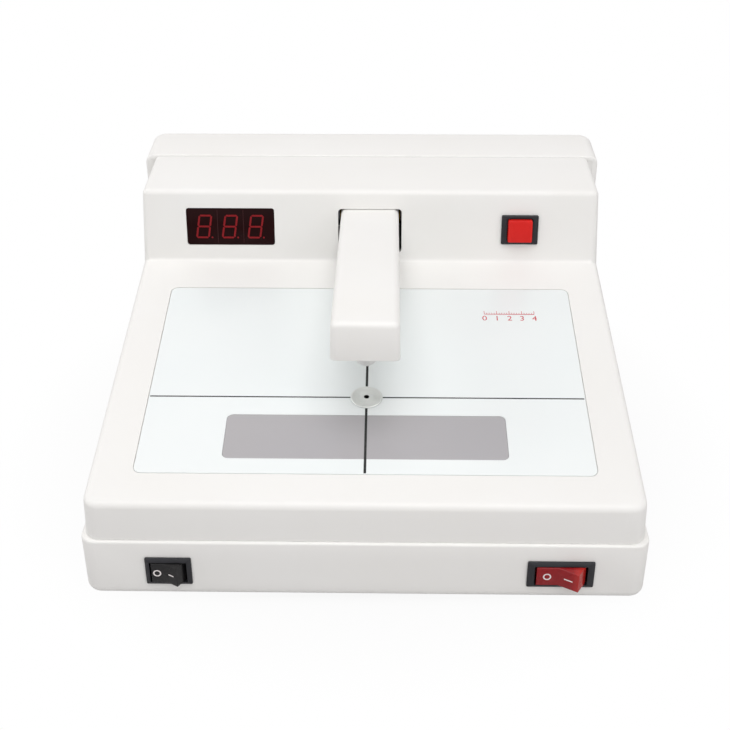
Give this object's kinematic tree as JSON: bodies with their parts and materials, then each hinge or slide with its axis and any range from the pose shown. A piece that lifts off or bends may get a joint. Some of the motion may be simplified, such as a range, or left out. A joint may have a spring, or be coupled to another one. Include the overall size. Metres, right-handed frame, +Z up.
{
  "type": "film densitometer",
  "caption": "Bench film densitometer with a sloping lit stage, a display console and a sprung measuring arm.",
  "frame": {"origin": "under the middle of the case, in the plane of the feet", "axes": "+X to the right as the user sees it, +Y to the rear, +Z up"},
  "size_m": [0.258, 0.2829, 0.1249],
  "materials": {
    "case_white": "satin moulded white",
    "arm_white": "satin moulded white",
    "overlay": "smooth matt print",
    "opal": "opal acrylic",
    "disc_metal": "turned",
    "reflector_white": "white paint",
    "lamp_glass": "clear",
    "lens_glass": "polished",
    "display_filter": "dark red filter",
    "digit_red": "unlit segments",
    "board_green": "solder mask",
    "dark_plastic": "moulded black",
    "button_red": "glossy red",
    "rocker_black": "glossy black",
    "rocker_red": "translucent red",
    "neon_glass": "clear",
    "steel": "plated",
    "bush_bronze": "sintered",
    "nozzle_white": "clear to white",
    "trafo_iron": "laminated",
    "foot_rubber": "matt"
  },
  "bodies": {
    "case": {"base_shell": "case_white", "top_shell": "case_white", "stage_overlay": "overlay", "viewer_window": "opal", "aperture_disc": "disc_metal", "viewer_reflector": "reflector_white", "viewer_tube": "lamp_glass", "tube_holders": "case_white", "viewer_ballast": "dark_plastic", "lamp_housing": "dark_plastic", "condenser_lens": "lens_glass", "measuring_lamp": "lamp_glass", "display_window": "display_filter", "display_digits": "digit_red", "display_board": "board_green", "button_housing": "dark_plastic", "button_spring": "steel", "viewer_switch_housing": "dark_plastic", "power_switch_housing": "dark_plastic", "power_neon": "neon_glass", "pivot_bracket": "steel", "bracket_screws": "steel", "pivot_pin": "steel", "pivot_clips": "steel", "fork_sensor": "dark_plastic", "arm_return_spring": "steel", "transformer": "trafo_iron", "main_board": "board_green", "board_chips": "dark_plastic", "board_standoffs": "steel", "board_screws": "steel", "mains_inlet": "dark_plastic", "inlet_screws": "steel", "fuse_holder": "dark_plastic", "case_screws": "steel", "rubber_feet": "foot_rubber"},
    "arm": {"arm_cover": "arm_white", "arm_base": "arm_white", "arm_bushes": "bush_bronze", "arm_screws": "steel", "probe_nozzle": "nozzle_white", "photo_sensor": "steel", "sensor_board": "board_green"},
    "zero_button": {"button_cap": "button_red"},
    "viewer_switch": {"viewer_rocker": "rocker_black"},
    "power_switch": {"power_rocker": "rocker_red"}
  },
  "joints": [
    {"name": "arm_hinge", "type": "hinge", "parent": "case", "child": "arm", "pos_m": [0, 0.0712, 0.101], "axis": [1, 0, 0], "range_deg": [0, 8.8], "stiffness_Nm_per_rad": 0.25, "springref_deg": -25.78, "deforming": ["arm_return_spring"]},
    {"name": "button_slide", "type": "slide", "parent": "case", "child": "zero_button", "axis": [0, 0.9903, -0.1392], "range_m": [0, 0.0025], "stiffness_N_per_m": 400, "springref_m": -0.001, "deforming": ["button_spring"]},
    {"name": "viewer_rocker_hinge", "type": "hinge", "parent": "case", "child": "viewer_switch", "pos_m": [-0.08935, -0.1329, 0.0187], "axis": [0, 0, 1], "range_deg": [0, 30]},
    {"name": "power_rocker_hinge", "type": "hinge", "parent": "case", "child": "power_switch", "pos_m": [0.08935, -0.1329, 0.0187], "axis": [0, 0, 1], "range_deg": [0, 30]}
  ]
}
